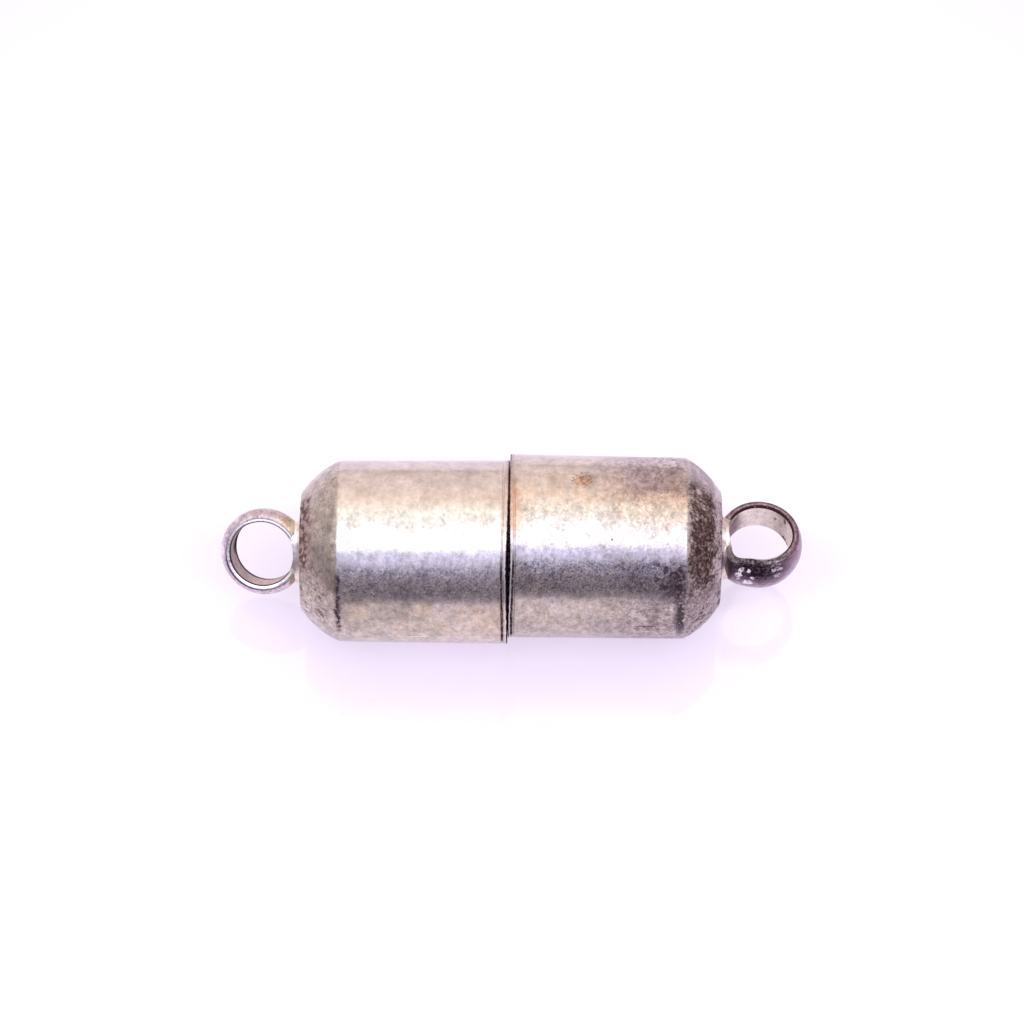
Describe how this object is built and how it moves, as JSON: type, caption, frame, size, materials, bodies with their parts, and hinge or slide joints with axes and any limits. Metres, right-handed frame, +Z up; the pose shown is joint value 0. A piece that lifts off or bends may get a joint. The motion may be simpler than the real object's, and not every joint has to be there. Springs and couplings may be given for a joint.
{
  "type": "magnetic barrel clasp",
  "caption": "Magnetic barrel clasp for a necklace or bracelet: plated cups with magnets inside, held end to end, and a soldered loop at each outer end.",
  "frame": {"origin": "middle of the closed clasp's footprint, on the surface that it lies on", "axes": "+X along the clasp from the left half to the right half, +Y to the back, +Z up"},
  "size_m": [0.0192, 0.0064, 0.006],
  "materials": {
    "plated_left": "silver plate over brass, satin, lightly tarnished",
    "plated_right": "silver plate over brass, satin, heavily tarnished brown and black",
    "magnet_nickel": "bright nickel plate over a sintered magnet"
  },
  "bodies": {
    "left_half": {"left_barrel": "plated_left", "left_magnet": "magnet_nickel"},
    "right_half": {"right_barrel": "plated_right", "right_magnet": "magnet_nickel"}
  },
  "joints": [
    {"name": "pull_apart", "type": "slide", "parent": "left_half", "child": "right_half", "axis": [1, 0, 0], "range_m": [0, 0.012]}
  ]
}
